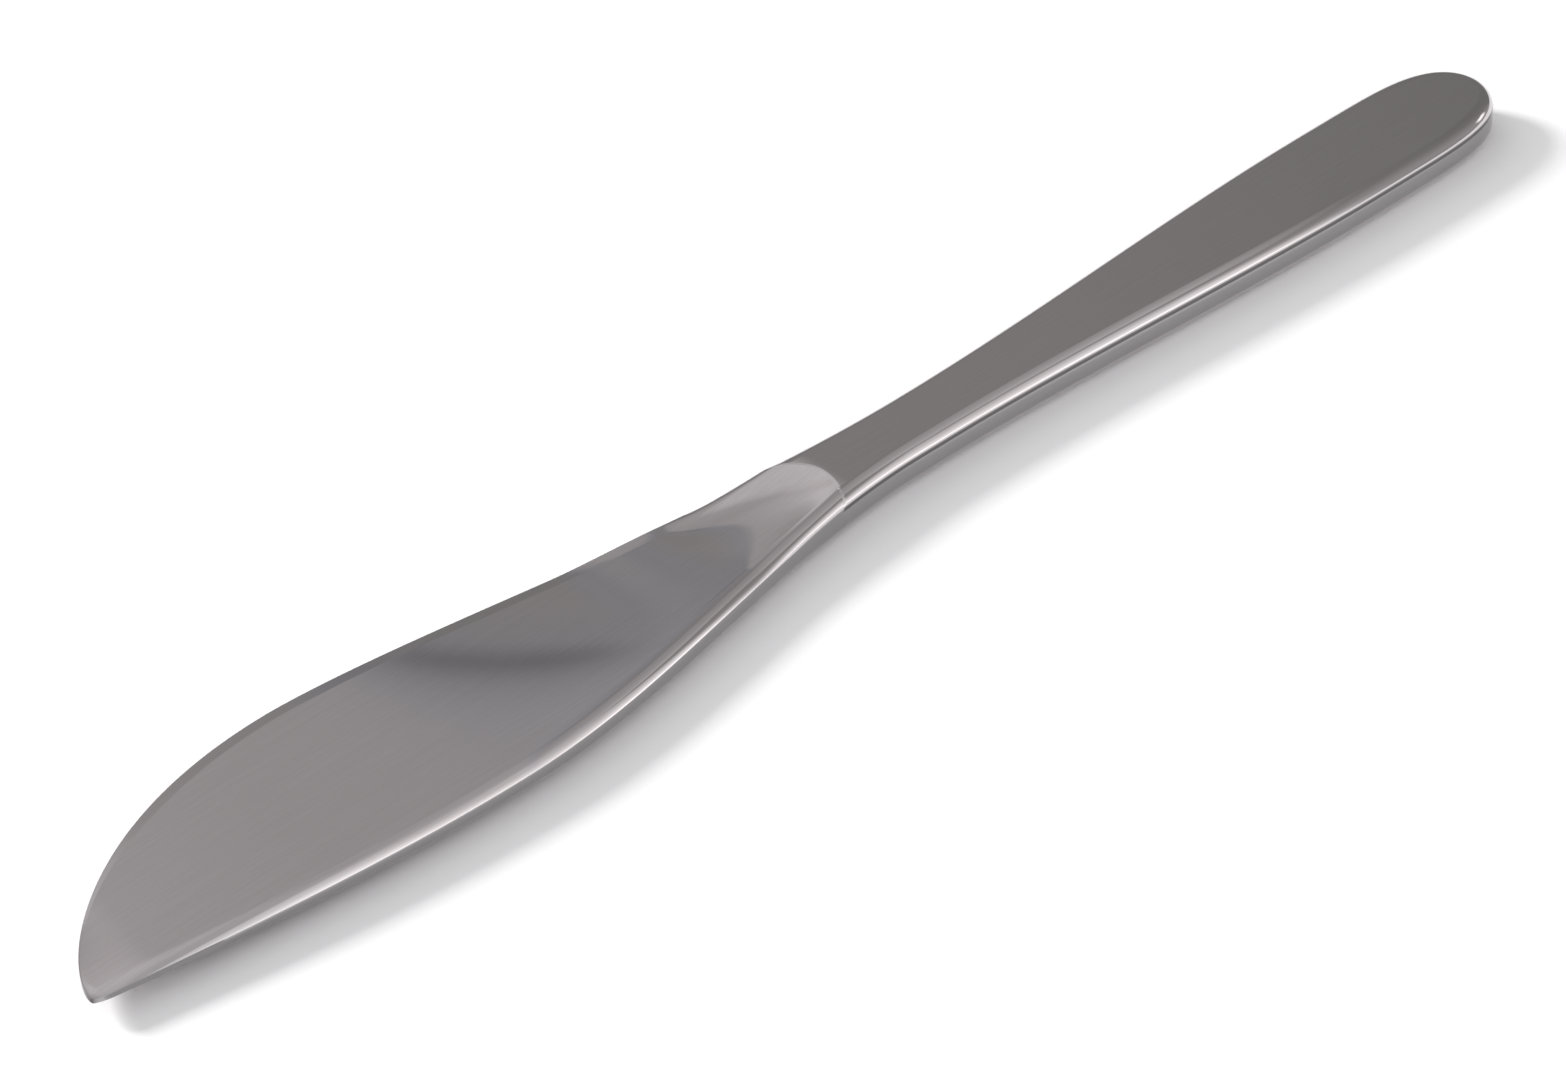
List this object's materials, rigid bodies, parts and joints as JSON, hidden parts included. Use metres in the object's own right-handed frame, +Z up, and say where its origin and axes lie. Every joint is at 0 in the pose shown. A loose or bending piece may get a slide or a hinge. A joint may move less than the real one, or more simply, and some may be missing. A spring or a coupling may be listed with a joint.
{
  "type": "table knife",
  "caption": "Stainless steel table knife: broad rounded blade with a ground edge, scooped neck and a slim hollow handle with a rounded butt.",
  "frame": {"origin": "middle of the knife's outline seen from above, on the surface that the handle rests on", "axes": "+X along the handle from the tip to the butt, +Y towards the cutting edge, +Z up out of the upper face"},
  "size_m": [0.2121, 0.0264, 0.0051],
  "materials": {
    "blade_steel": "polished over fine lengthwise grinding lines",
    "handle_steel": "polished",
    "braze": "as brazed",
    "cement": "set cement",
    "sand": "packed dry sand"
  },
  "bodies": {
    "root": {"blade": "blade_steel", "upper_shell": "handle_steel", "lower_shell": "handle_steel", "seam_braze": "braze", "tang_cement": "cement", "sand_fill": "sand"}
  },
  "joints": []
}
